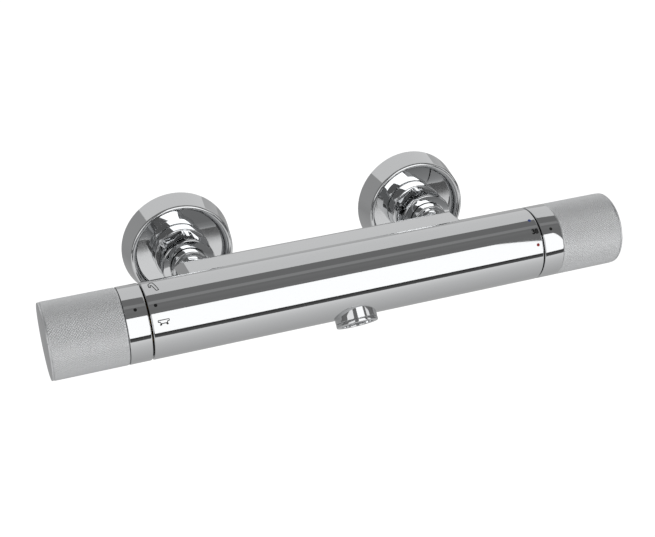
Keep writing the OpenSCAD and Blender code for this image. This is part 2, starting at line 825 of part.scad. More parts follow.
// Diverter housing: a cup over the ceramic discs, a barrel and a neck for the stop ring
module diverter_housing() color(brass) on_bar(hot) difference() {
    union() {
        rod(diverter_r - fit_gap, fixed_disc_start, lock_nut_start - fit_gap);
        rod(stop_ring_inner_r - fit_gap, lock_nut_start - cut, housing_neck_end);
    }
    rod(disc_r + fit_gap, fixed_disc_start - cut, carrier_start + carrier_len + free_gap);
    rod(spindle_r + run_gap, carrier_start, housing_neck_end + cut);
    groove(diverter_r - fit_gap, diverter_seal_r, diverter_seal_at);
}

module diverter_o_ring() color(rubber_black) on_bar(hot)
    o_ring(diverter_r - fit_gap + run_gap, diverter_seal_r, diverter_seal_at);

module diverter_lock_nut() color(brass) on_bar(hot) difference() {
    union() {
        rod(diverter_r - fit_gap, lock_nut_start, half_body + edge);
        hexagon(lock_nut_af, half_body, half_body + lock_nut_head);
    }
    rod(stop_ring_inner_r, lock_nut_start - cut, half_body + lock_nut_head + cut);
}

module diverter_seal() color(rubber_black) on_bar(hot) difference() {
    rod(disc_r, disc_stack, disc_stack + seal_thick);
    disc_holes(disc_stack);
}

// Three water holes: one brings the mixed water in, and one leads to each outlet
module disc_holes(at) {
    for (a = [mixed_way, shower_way, bath_way]) rotate([0, 0, a]) translate([way_out, 0, 0])
        rod(disc_hole_r, at - cut, at + disc_thick + cut);
}

module fixed_ceramic_disc() color(ceramic_white) on_bar(hot) difference() {
    rod(disc_r, fixed_disc_start, fixed_disc_start + disc_thick);
    disc_holes(fixed_disc_start);
}

module moving_ceramic_disc() color(ceramic_white) on_bar(hot) difference() {
    rod(disc_r - free_gap, moving_disc_start, moving_disc_start + disc_thick);
    ring_sector(way_out + disc_hole_r, way_out - disc_hole_r,
        moving_disc_start - cut, moving_disc_start + disc_thick / 2, mixed_way, disc_pocket_turn);
}

module flow_spindle() color(brass) on_bar(hot) difference() {
    union() {
        rod(disc_r - free_gap, carrier_start, carrier_start + carrier_len);
        rod(spindle_r, carrier_start + carrier_len - edge, spline_start + edge);
        spline(spline_start, spline_end);
    }
    rod(screw_r, spline_end - screw_hole, spline_end + cut);
}

mixer_body();
aerator_housing();
aerator_insert();
aerator_washer();
hose_nipple();
hose_nipple_o_ring();
inlet_tail(hot);  // hot_inlet_tail
inlet_tail(cold);  // cold_inlet_tail
union_nut(hot);  // hot_union_nut
union_nut(cold);  // cold_union_nut
inlet_filter(hot);  // hot_inlet_filter
inlet_filter(cold);  // cold_inlet_filter
s_union(hot);  // hot_s_union
s_union(cold);  // cold_s_union
rosette(hot);  // hot_rosette
rosette(cold);  // cold_rosette
check_valve(hot);  // hot_check_valve
check_valve(cold);  // cold_check_valve
check_poppet(hot);  // hot_check_poppet
check_poppet(cold);  // cold_check_poppet
check_spring(hot);  // hot_check_spring
check_spring(cold);  // cold_check_spring
thermostat_housing();
thermostat_o_rings();
stop_ring(cold, hot_turn, cold_turn);  // thermostat_stop_ring
thermostat_shuttle();
wax_element();
adjusting_nut();
thermostat_spring();
temperature_spindle();
collar(cold);  // temperature_collar
grip(cold);  // temperature_grip
core(cold);  // temperature_core
cap(cold);  // temperature_cap
handle_screw(cold);  // temperature_screw
diverter_housing();
diverter_o_ring();
diverter_lock_nut();
stop_ring(hot, flow_turn, flow_turn);  // diverter_stop_ring
diverter_seal();
fixed_ceramic_disc();
moving_ceramic_disc();
flow_spindle();
collar(hot);  // flow_collar
grip(hot);  // flow_grip
core(hot);  // flow_core
cap(hot);  // flow_cap
handle_screw(hot);  // flow_screw
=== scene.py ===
import math

import bmesh
import bpy
from mathutils import Matrix, Vector


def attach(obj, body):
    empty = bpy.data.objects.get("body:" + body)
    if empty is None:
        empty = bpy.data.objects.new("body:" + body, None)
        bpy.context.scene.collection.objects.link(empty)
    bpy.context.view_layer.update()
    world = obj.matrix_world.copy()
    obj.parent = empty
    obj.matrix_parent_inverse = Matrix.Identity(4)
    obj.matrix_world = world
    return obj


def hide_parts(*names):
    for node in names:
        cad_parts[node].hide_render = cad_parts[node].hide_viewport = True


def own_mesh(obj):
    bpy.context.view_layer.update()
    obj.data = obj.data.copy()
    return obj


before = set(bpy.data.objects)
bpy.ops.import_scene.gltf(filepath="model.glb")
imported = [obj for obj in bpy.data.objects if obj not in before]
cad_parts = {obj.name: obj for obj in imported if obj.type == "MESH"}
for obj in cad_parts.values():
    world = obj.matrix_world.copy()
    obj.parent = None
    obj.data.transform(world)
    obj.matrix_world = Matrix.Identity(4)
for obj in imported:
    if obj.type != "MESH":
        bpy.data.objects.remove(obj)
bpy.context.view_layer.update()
scene = bpy.context.scene
scene.view_settings.view_transform = "Standard"

# Camera: to the left of the tap and above it, looking down at the whole bar.
# The tap isn't held quite level, so the camera has a small roll.
camera_place = (-0.2097, -0.6806, 0.3170)
to_the_right, downwards, roll = math.radians(18.63), math.radians(26.18), math.radians(-2.874)
sensor_width, picture_width, focal_length_in_pixels = 36, 655, 1262.6
bpy.ops.object.camera_add(location=camera_place)
camera = bpy.context.object
camera.matrix_world = (
    Matrix.Translation(camera_place)
    @ Matrix.Rotation(-to_the_right, 4, "Z")
    @ Matrix.Rotation(math.pi / 2 - downwards, 4, "X")
    @ Matrix.Rotation(roll, 4, "Z")
)
camera.data.sensor_width = sensor_width
camera.data.lens = sensor_width * focal_length_in_pixels / picture_width
scene.camera = camera

# Studio: a white table under the tap, and long flat screens round the bar, each where the bar mirrors it.
# They are lights in front, above and behind, a dark shade low in front, whose edge draws the thin black
# line along the bar, and grey cards that stand for what the chrome shows of the table and the room.
# The bar's axis is this far in front of the wall, in metres
bar_y = -0.088
# A ray's depth is 1 at its first reflection and 2 at its second
second_reflection = 1.5


def colour(hex_code):
    """An sRGB colour such as "C8C9CB" as Blender's linear one"""
    parts = [int(hex_code[i:i + 2], 16) / 255 for i in (0, 2, 4)]
    return [p / 12.92 if p <= 0.04045 else ((p + 0.055) / 1.055) ** 2.4 for p in parts] + [1]


def emptied(block):
    """The node tree of a new material or world, with nothing in it yet"""
    block.use_nodes = True
    block.node_tree.nodes.clear()
    return block.node_tree


def add_node(tree, kind, settings={}, **inputs):
    """Adds a node. An input goes by its name, with _ for a space, or by i and its number, and is given
    a value, or another node's output to link"""
    new = tree.nodes.new(kind)
    for name, value in settings.items():
        setattr(new, name, value)
    for name, value in inputs.items():
        numbered = name[0] == "i" and name[1:].isdigit()
        socket = new.inputs[int(name[1:]) if numbered else name.replace("_", " ")]
        if isinstance(value, bpy.types.NodeSocket):
            tree.links.new(value, socket)
        else:
            socket.default_value = value
    return new


def around_the_bar(angle, distance):
    """The Y and Z of a place at an angle from straight above the bar, towards the front"""
    turn = math.radians(angle)
    return bar_y - distance * math.sin(turn), distance * math.cos(turn)


def screen(name, start, end, brightness, end_brightness, left=-3, right=3, seen_twice=1):
    """A long flat screen, along the bar, from one angle and distance to another, its brightness graded.
    A lamp far brighter than white looks white in a second mirror too, which seen_twice makes up for"""
    (y0, z0), (y1, z1) = around_the_bar(*start), around_the_bar(*end)
    middle = ((left + right) / 2, (y0 + y1) / 2, (z0 + z1) / 2)
    slope = math.atan2(z1 - z0, y1 - y0)
    bpy.ops.mesh.primitive_plane_add(size=1, location=middle, rotation=(slope, 0, 0))
    piece = bpy.context.object
    piece.name = name
    piece.scale = (right - left, math.hypot(y1 - y0, z1 - z0), 1)
    piece.visible_camera = piece.visible_shadow = False
    material = bpy.data.materials.new(name)
    tree = emptied(material)
    place = add_node(tree, "ShaderNodeTexCoord")
    across = add_node(tree, "ShaderNodeSeparateXYZ", Vector=place.outputs["Object"])
    # The plane's own Y runs from -0.5 to 0.5
    level = add_node(tree, "ShaderNodeMapRange", Value=across.outputs["Y"], From_Min=-0.5, From_Max=0.5,
                     To_Min=brightness, To_Max=end_brightness)
    ray = add_node(tree, "ShaderNodeLightPath")
    twice = add_node(tree, "ShaderNodeMath", {"operation": "GREATER_THAN"},
                     i0=ray.outputs["Ray Depth"], i1=second_reflection)
    gain = add_node(tree, "ShaderNodeMath", {"operation": "MULTIPLY_ADD"},
                    i0=twice.outputs[0], i1=seen_twice - 1, i2=1)
    level = add_node(tree, "ShaderNodeMath", {"operation": "MULTIPLY"},
                     i0=level.outputs[0], i1=gain.outputs[0])
    glow = add_node(tree, "ShaderNodeEmission", Strength=level.outputs[0])
    add_node(tree, "ShaderNodeOutputMaterial", Surface=glow.outputs[0])
    piece.data.materials.append(material)


bpy.ops.object.select_all(action="DESELECT")
screen("front_light", (46.3, 1.8), (103.1, 1.5), 1.7, 1.7, left=-0.17, right=1.05, seen_twice=1.9)
screen("far_left_light", (46.3, 1.8), (103.1, 1.5), 1.3, 1.3, left=-3.5, right=-0.85)
screen("far_right_light", (46.3, 1.8), (103.1, 1.5), 1.2, 1.2, left=1.7, right=3.5)
screen("back_light", (-14, 1.8), (-73, 1.8), 0.85, 0.85, left=-1)
screen("ceiling_strip", (8, 1.8), (17, 1.8), 0.33, 0.33)
screen("second_ceiling_strip", (23, 1.8), (37, 1.8), 0.24, 0.21)
screen("low_front_shade", (103.3, 3.4), (115.4, 3.4), 0.03, 0.14, left=-8, right=8)
screen("front_card", (115.5, 3.4), (196, 1.5), 1.03, 0.53, left=-8, right=8)
screen("back_card", (196, 1.5), (245, 3.4), 0.53, 0.38, left=-8, right=8)
screen("far_card", (245, 3.4), (263, 2.39), 0.38, 0.42, left=-8, right=8)
screen("back_wall", (-97, 2.4), (-45, 3.4), 0.56, 0.56, left=-0.3)
screen("left_back_wall", (-97, 2.4), (-45, 3.4), 0.42, 0.42, right=-0.3)

# Matt white lacquer: an even white that keeps the tap's shadow. The cards stand for it in the chrome.
# For the camera, glow_share of it is a plain white glow.
table_drop, table_back, table_width = 0.25, 6, 6
front_edge_below_bar = math.radians(25)
table_front = bar_y - table_drop / math.tan(front_edge_below_bar)
table_glow, glow_share = 1.3, 0.72
bpy.ops.mesh.primitive_plane_add(size=1, location=(0, (table_front + table_back) / 2, -table_drop))
table = bpy.context.object
table.name = "table"
table.scale = (table_width, table_back - table_front, 1)
table.visible_glossy = False
matt_white = bpy.data.materials.new("matt_white_table")
tree = emptied(matt_white)
ray = add_node(tree, "ShaderNodeLightPath")
seen = add_node(tree, "ShaderNodeMath", {"operation": "ADD", "use_clamp": True},
                i0=ray.outputs["Is Camera Ray"], i1=ray.outputs["Is Glossy Ray"])
seen = add_node(tree, "ShaderNodeMath", {"operation": "ADD", "use_clamp": True},
                i0=seen.outputs[0], i1=ray.outputs["Is Transmission Ray"])
seen = add_node(tree, "ShaderNodeMath", {"operation": "MULTIPLY"}, i0=seen.outputs[0], i1=glow_share)
matt = add_node(tree, "ShaderNodeBsdfDiffuse", Color=colour("F4F4F4"))
white = add_node(tree, "ShaderNodeEmission", Color=(1, 1, 1, 1), Strength=table_glow)
blend = add_node(tree, "ShaderNodeMixShader", Fac=seen.outputs[0], i1=matt.outputs[0], i2=white.outputs[0])
add_node(tree, "ShaderNodeOutputMaterial", Surface=blend.outputs[0])
table.data.materials.append(matt_white)

# The room is white to the camera, and gives the tap only a little even light.
room_light = 0.22
room = bpy.data.worlds.new("white_room")
scene.world = room
tree = emptied(room)
ray = add_node(tree, "ShaderNodeLightPath")
seen = add_node(tree, "ShaderNodeMath", {"operation": "MAXIMUM"},
                i0=ray.outputs["Is Camera Ray"], i1=ray.outputs["Is Transmission Ray"])
level = add_node(tree, "ShaderNodeMath", {"operation": "MULTIPLY_ADD"},
                 i0=seen.outputs[0], i1=1 - room_light, i2=room_light)
air = add_node(tree, "ShaderNodeBackground", Color=(1, 1, 1, 1), Strength=level.outputs[0])
add_node(tree, "ShaderNodeOutputWorld", Surface=air.outputs[0])

# Body: a brass bar, turned and bored from both ends, cast in one with the flat-topped waterway behind it
# and the two outlet bosses below it, then ground, polished and chromium-plated.
MM = 0.001
HOT, COLD = -1, 1
inlet_x = 0.075
# From here on sizes are in mm. Starts, ends and floors are distances along a part's own axis, and a fill is
# the radius from which a turned part's end is closed.
bar_radius, half_body, bar_end_fill = 21, 113.5, 10
waterway_length, waterway_top, waterway_back, waterway_drop = 180, 20, 26, 16
waterway_ends, waterway_rounding = {HOT: -85.5, COLD: 73}, 7
boss_start, outlet_radius, outlet_rim, outlet_lip, outlet_gap = 2, 11.8, 25.5, 2.1, 0.15
outlet_tilt, outlet_side = 36, 1
hose_side, hose_back, hose_foot = 11, 14, 21.4
outlet_socket, outlet_socket_floor = 10.45, 11.9
hose_socket, hose_socket_floor = 8.95, 13.4
inlet_socket, inlet_socket_start, inlet_socket_end = 8.9, 60, 69
thermostat_chamber, thermostat_chamber_floor = 17, 45.5
mixing_well, mixing_well_floor, mixing_well_end = 8, 36.5, 50
diverter_chamber, diverter_chamber_floor = 13, 77.5
past_the_boss, past_the_body = 30, 120


def take(piece):
    """Selects this piece and nothing else"""
    bpy.ops.object.select_all(action="DESELECT")
    piece.select_set(True)
    bpy.context.view_layer.objects.active = piece


def rounded(corners, steps=8):
    """The points of an outline whose corners, given as radius, height and rounding in mm, are rounded off"""
    points = []
    for i, (r, h, rounding) in enumerate(corners):
        here = Vector((r, h))
        if rounding == 0:
            points.append((r, h))
            continue
        back = (Vector(corners[i - 1][:2]) - here).normalized()
        on = (Vector(corners[(i + 1) % len(corners)][:2]) - here).normalized()
        half = back.angle(on) / 2
        middle = here + (back + on).normalized() * rounding / math.sin(half)
        start = here + back * rounding / math.tan(half) - middle
        end = here + on * rounding / math.tan(half) - middle
        for k in range(steps + 1):
            points.append(tuple(middle + start.slerp(end, k / steps) * rounding))
    return points


def turned(name, outline, sides=192):
    """A piece turned on the Z axis: a ring is drawn along the outline's radii and heights, in mm.
    A ring-shaped piece's outline ends where it starts, and another's two ends are filled"""
    bpy.ops.object.select_all(action="DESELECT")
    first_r, first_h = outline[0]
    bpy.ops.mesh.primitive_circle_add(vertices=sides, radius=first_r * MM, location=(0, 0, first_h * MM))
    piece = bpy.context.object
    piece.name = piece.data.name = name
    bpy.ops.object.transform_apply()
    bpy.ops.object.mode_set(mode="EDIT")
    bpy.ops.mesh.select_mode(type="EDGE")
    bpy.ops.mesh.select_all(action="SELECT")
    for (r, h), (next_r, next_h) in zip(outline, outline[1:]):
        bpy.ops.mesh.extrude_edges_move(TRANSFORM_OT_translate={"value": (0, 0, (next_h - h) * MM)})
        bpy.ops.transform.resize(value=(next_r / r, next_r / r, 1), center_override=(0, 0, next_h * MM))
    bpy.ops.mesh.select_all(action="SELECT")
    bpy.ops.mesh.remove_doubles(threshold=2e-6)
    bpy.ops.mesh.fill_holes(sides=0)
    bpy.ops.mesh.normals_make_consistent(inside=False)
    bpy.ops.object.mode_set(mode="OBJECT")
    return piece


def rod(name, radius, start, end, rounding=0, sides=192):
    """A solid round rod, with its far rim rounded"""
    return turned(name, rounded([(radius, start, 0), (radius, end, rounding), (radius / 2, end, 0)]), sides)


def settle(piece, place):
    """Moves a piece made on the Z axis to its place, and fixes the place in its mesh"""
    take(piece)
    piece.matrix_world = place
    bpy.ops.object.transform_apply()
    return piece


def combine(piece, other, operation="UNION"):
    """Welds another piece on, or takes it away, or keeps what both fill, and the other piece is used up"""
    take(piece)
    bpy.ops.object.modifier_add(type="BOOLEAN")
    step = piece.modifiers[-1]
    step.operation, step.object, step.solver = operation, other, "EXACT"
    bpy.ops.object.modifier_apply(modifier=step.name)
    bpy.data.objects.remove(other)
    return piece


def ease_edges(piece, width, segments, sharper_than=25):
    """Takes the sharpness off a piece's edges, as buffing does"""
    take(piece)
    bpy.ops.object.modifier_add(type="BEVEL")
    step = piece.modifiers[-1]
    step.width, step.segments, step.limit_method = width * MM, segments, "ANGLE"
    step.angle_limit = math.radians(sharper_than)
    step.use_clamp_overlap = True
    bpy.ops.object.modifier_apply(modifier=step.name)
    return piece


def finish(piece, material, body, slot, *nodes, smooth_below=14):
    """Gives a piece its surface, the body it moves with and the CAD nodes it stands for"""
    take(piece)
    bpy.ops.object.shade_smooth_by_angle(angle=math.radians(smooth_below))
    piece.data.materials.clear()
    piece.data.materials.append(material)
    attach(piece, body)
    if nodes:
        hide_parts(*nodes)


def along_bar(side):
    """Up to the bar's own line: Z runs outwards along the bar"""
    return Matrix.Translation((0, bar_y, 0)) @ Matrix.Rotation(side * math.pi / 2, 4, "Y")


def along_inlet(side):
    """Up to an inlet's line: Z runs from the wall to the bar"""
    return Matrix.Translation((side * inlet_x, 0, 0)) @ Matrix.Rotation(math.pi / 2, 4, "X")


out_of_spout = (Matrix.Translation((outlet_side * MM, bar_y, 0))
                @ Matrix.Rotation(math.radians(180 - outlet_tilt), 4, "X"))
down_hose = (Matrix.Translation((hose_side * MM, bar_y + hose_back * MM, 0))
             @ Matrix.Rotation(math.pi, 4, "X"))

# Bright chromium plate on buffed brass: a cool mirror with the faint haze that buffing leaves, in clouds
# of about 17 mm, and a ripple of about 1 mm
polished_chrome = bpy.data.materials.new("polished_chrome_plate")
tree = emptied(polished_chrome)
place = add_node(tree, "ShaderNodeTexCoord")
haze = add_node(tree, "ShaderNodeTexNoise", Vector=place.outputs["Object"],
                Scale=60, Detail=3, Roughness=0.6)
haze_level = add_node(tree, "ShaderNodeMapRange", Value=haze.outputs["Fac"], From_Min=0.3, From_Max=0.7,
                      To_Min=0.03, To_Max=0.06)
buffing = add_node(tree, "ShaderNodeTexNoise", Vector=place.outputs["Object"], Scale=900, Detail=2)
ripple = add_node(tree, "ShaderNodeBump", Strength=0.02, Distance=0.00002, Height=buffing.outputs["Fac"])
plate = add_node(tree, "ShaderNodeBsdfPrincipled", Base_Color=colour("C8C9CA"), Metallic=1,
                 Roughness=haze_level.outputs[0], Normal=ripple.outputs[0])
add_node(tree, "ShaderNodeOutputMaterial", Surface=plate.outputs[0])

body = turned("mixer_body_bar", rounded([
    (bar_end_fill, -half_body, 0), (bar_radius, -half_body, 0.8),
    (bar_radius, half_body, 0.8), (bar_end_fill, half_body, 0)]), sides=360)
settle(body, along_bar(COLD))

# The waterway is a box with its long back edges well rounded, and its ends slope up to its top, where
# waterway_ends gives their places along the bar
bpy.ops.object.select_all(action="DESELECT")
bpy.ops.mesh.primitive_cube_add(
    size=1, location=(0, bar_y + waterway_back / 2 * MM, (waterway_top - waterway_drop) / 2 * MM),
    scale=(waterway_length * MM, waterway_back * MM, (waterway_top + waterway_drop) * MM))
waterway = bpy.context.object
bpy.ops.object.transform_apply()
bpy.ops.object.mode_set(mode="EDIT")
bpy.ops.mesh.select_mode(type="EDGE")
bpy.ops.mesh.select_all(action="DESELECT")
mesh = bmesh.from_edit_mesh(waterway.data)
for line in mesh.edges:
    a, b = line.verts
    lengthwise, at_the_back = abs(a.co.x - b.co.x) > MM, a.co.y > bar_y + MM
    line.select_set(lengthwise and at_the_back)
bmesh.update_edit_mesh(waterway.data)
bpy.ops.mesh.bevel(offset=waterway_rounding * MM, segments=12, affect="EDGES")
for side, end_x in waterway_ends.items():
    bpy.ops.mesh.select_all(action="SELECT")
    bpy.ops.mesh.bisect(plane_co=(end_x * MM, 0, waterway_top * MM), plane_no=(side, 0, 1),
                        use_fill=True, clear_outer=True)
bpy.ops.object.mode_set(mode="OBJECT")
ease_edges(waterway, 1.2, segments=6)
combine(body, waterway)
combine(body, settle(rod("outlet_boss", outlet_radius, boss_start, outlet_rim - outlet_lip - outlet_gap,
                         rounding=0.3), out_of_spout))
combine(body, settle(rod("hose_boss", outlet_radius, boss_start, hose_foot, rounding=0.5), down_hose))
combine(body, settle(rod("outlet_socket", outlet_socket, outlet_socket_floor, past_the_boss), out_of_spout),
        "DIFFERENCE")
combine(body, settle(rod("hose_socket", hose_socket, hose_socket_floor, past_the_boss), down_hose),
        "DIFFERENCE")
for side in (HOT, COLD):
    combine(body, settle(rod("inlet_socket", inlet_socket, inlet_socket_start, inlet_socket_end),
                         along_inlet(side)), "DIFFERENCE")
combine(body, settle(rod("thermostat_chamber", thermostat_chamber, thermostat_chamber_floor, past_the_body),
                     along_bar(COLD)), "DIFFERENCE")
combine(body, settle(rod("mixing_well", mixing_well, mixing_well_floor, mixing_well_end),
                     along_bar(COLD)), "DIFFERENCE")
combine(body, settle(rod("diverter_chamber", diverter_chamber, diverter_chamber_floor, past_the_body),
                     along_bar(HOT)), "DIFFERENCE")
body.name = body.data.name = "polished_body"
finish(body, polished_chrome, "base", "polished_chrome", "mixer_body")

# Signs: engraved in the bar and filled with black, blue and red paint. They are a hand shower and a bath
# for the flow handle, 38 degrees with a cold and a hot dot for the temperature handle, and two index dots.
sign_line, sign_depth, parts_of_a_line = 0.27, 0.1, 6
dot_radius, dot_depth, dot_crown = 0.92, 0.3, 0.05
figure_height, figure_depth, figure_boldness, figure_sink = 3.9, 0.14, 0.19, 0.04
figures_place = (110.2, 46.4)


def on_surface(x, from_top):
    """A place on the bar's surface: Z points straight out of it, and Y up towards its top"""
    return (Matrix.Translation((x * MM, bar_y, 0)) @ Matrix.Rotation(math.radians(from_top), 4, "X")
            @ Matrix.Translation((0, 0, bar_radius * MM)))


def paint(name, hex_code):
    """Stoving paint, wiped into the engraving: dull, and uneven every quarter of a millimetre"""
    material = bpy.data.materials.new(name)
    tree = emptied(material)
    place = add_node(tree, "ShaderNodeTexCoord")
    uneven = add_node(tree, "ShaderNodeTexNoise", Vector=place.outputs["Object"], Scale=4000, Detail=2)
    level = add_node(tree, "ShaderNodeMapRange", Value=uneven.outputs["Fac"], To_Min=0.75, To_Max=0.95)
    ripple = add_node(tree, "ShaderNodeBump", Strength=0.2, Distance=0.00005, Height=uneven.outputs["Fac"])
    coat = add_node(tree, "ShaderNodeBsdfPrincipled", Base_Color=colour(hex_code),
                    Roughness=level.outputs[0], Normal=ripple.outputs[0])
    add_node(tree, "ShaderNodeOutputMaterial", Surface=coat.outputs[0])
    return material


black_paint = paint("black_engraving_paint", "050506")
blue_paint = paint("blue_engraving_paint", "3B4A8C")
red_paint = paint("red_engraving_paint", "9A2F2C")


def engraved(name, lines):
    """Closed lines engraved in the body, each through places given as x in mm and angle from the top"""
    curve = bpy.data.curves.new(name, "CURVE")
    curve.dimensions = "3D"
    curve.bevel_depth = sign_line * MM
    curve.bevel_resolution = 2
    for line in lines:
        path = []
        for (x0, a0), (x1, a1) in zip(line, line[1:] + line[:1]):
            for k in range(parts_of_a_line):
                path.append((x0 + (x1 - x0) * k / parts_of_a_line, a0 + (a1 - a0) * k / parts_of_a_line))
        spline = curve.splines.new("POLY")
        spline.points.add(len(path) - 1)
        spline.use_cyclic_u = True
        for point, (x, a) in zip(spline.points, path):
            at = on_surface(x, a) @ Vector((0, 0, -sign_depth * MM))
            point.co = (*at, 1)
    piece = bpy.data.objects.new(name, curve)
    scene.collection.objects.link(piece)
    take(piece)
    bpy.ops.object.convert(target="MESH")
    finish(bpy.context.object, black_paint, "base", "polished_chrome", smooth_below=50)


engraved("hand_shower_sign", [
    [(-105.5, 17), (-106.9, 17.6), (-108.3, 4.5), (-109.0, 3.5), (-109.2, 9.0), (-110.0, 8.0),
     (-109.9, 0.5), (-108.5, -3.8), (-107.2, -3.2)]])
engraved("bath_sign", [
    [(-110.0, 64.8), (-104.2, 64.8), (-104.2, 67.2), (-105.1, 67.4), (-105.4, 69.8), (-108.7, 69.8),
     (-109.1, 67.4), (-110.0, 67.2)],
    [(-109.0, 70.4), (-109.2, 71.8), (-108.6, 71.8), (-108.4, 70.4)],
    [(-105.8, 70.4), (-105.6, 71.8), (-105.0, 71.8), (-105.2, 70.4)]])


def dot(name, x, from_top, material, body):
    """A drilled dot, filled with paint level with the surface"""
    piece = rod(name, dot_radius, -dot_depth, dot_crown, rounding=0.04, sides=32)
    settle(piece, on_surface(x, from_top))
    finish(piece, material, body, "polished_chrome", smooth_below=40)


dot("flow_body_dot", -109.5, 42.4, black_paint, "base")
dot("flow_collar_dot", -120.3, 43, black_paint, "flow_handle")
dot("cold_dot", 109.7, 25.4, blue_paint, "base")
dot("hot_dot", 110.1, 67.6, red_paint, "base")
dot("temperature_collar_dot", 120.1, 47.1, black_paint, "temperature_handle")

bpy.ops.object.select_all(action="DESELECT")
bpy.ops.object.text_add()
figures = bpy.context.object
figures.name = "figures_38"
figures.data.body = "38"
figures.data.size = figure_height * MM
figures.data.align_x = "CENTER"
figures.data.align_y = "CENTER"
figures.data.extrude = figure_depth * MM
figures.data.offset = figure_boldness * MM
bpy.ops.object.convert(target="MESH")
figures = bpy.context.object
settle(figures, on_surface(*figures_place) @ Matrix.Translation((0, 0, -figure_sink * MM)))
finish(figures, black_paint, "base", "polished_chrome", smooth_below=40)

# Bath outlet: a chromed ring screwed into the boss holds a moulded honeycomb and a rubber washer,
# which turn the water into a soft stream.
ring_thread, ring_mouth, ring_bore, ring_start = 10.3, 9.1, 8.9, 15.4
ring = rounded([
    (ring_thread, ring_start, 0.3), (ring_thread, outlet_rim - outlet_lip, 0),
    (outlet_radius, outlet_rim - outlet_lip, 0.25), (outlet_radius, outlet_rim, 0.6),
    (ring_mouth, outlet_rim, 0.35), (ring_bore, ring_start, 0)])
aerator_ring = turned("aerator_ring", ring + ring[:1])
settle(aerator_ring, out_of_spout)
finish(aerator_ring, polished_chrome, "base", "polished_chrome", "aerator_housing")


def moulded(name, hex_code, roughness, grain_scale=1500):
    """Moulded plastic or rubber: an even colour and a satin skin with the fine grain of its mould, about
    half a millimetre wide, and the faint clouds of about 11 mm that its flow leaves"""
    material = bpy.data.materials.new(name)
    tree = emptied(material)
    place = add_node(tree, "ShaderNodeTexCoord")
    grain = add_node(tree, "ShaderNodeTexNoise", Vector=place.outputs["Object"], Scale=grain_scale, Detail=3)
    flow = add_node(tree, "ShaderNodeTexNoise", Vector=place.outputs["Object"], Scale=90, Detail=2)
    level = add_node(tree, "ShaderNodeMapRange", Value=flow.outputs["Fac"],
                     To_Min=roughness - 0.07, To_Max=roughness + 0.07)
    shade = add_node(tree, "ShaderNodeMix", {"data_type": "RGBA"}, Factor=flow.outputs["Fac"],
                     i6=colour(hex_code), i7=[0.88 * c for c in colour(hex_code)[:3]] + [1])
    ripple = add_node(tree, "ShaderNodeBump", Strength=0.25, Distance=0.00005, Height=grain.outputs["Fac"])
    skin = add_node(tree, "ShaderNodeBsdfPrincipled", Base_Color=shade.outputs[2],
                    Roughness=level.outputs[0], Normal=ripple.outputs[0])
    add_node(tree, "ShaderNodeOutputMaterial", Surface=skin.outputs[0])
    return material


def surface(material, *nodes):
    """Gives CAD nodes that stay as they are their finished surface"""
    for name in nodes:
        mesh = bpy.data.objects[name].data
        mesh.materials.clear()
        mesh.materials.append(material)


# Moulded acetal, in the grey and the natural white that are usual for inner parts: smooth and satin
grey_acetal = moulded("grey_acetal", "77797D", 0.45)
white_acetal = moulded("white_acetal", "E4E3DE", 0.42)
# EPDM rubber, pressed: near black and dull
black_rubber = moulded("black_epdm_rubber", "1B1B1D", 0.62, grain_scale=2500)
surface(grey_acetal, "aerator_insert")
surface(black_rubber, "aerator_washer")

# Hand-shower outlet: a flanged brass nipple screwed up into its boss behind the bar, with an O-ring,
# and a half-inch thread below for the hose's nut. Pipe threads this size have 14 turns to the inch.
pitch = 1.814
half_inch_thread = (10.47, 9.32)
nipple_thread_start, nipple_end = 22.9, 31.65
nipple_bore, nipple_bore_start, nipple_bore_end = 6.2, 5, 40
plug_radius, plug_top, plug_fill = 8.8, 13.95, 8
flange_radius, flange_top, flange_foot = 11.2, 21.55, 23.15
neck_radius, neck_foot = 9, 24


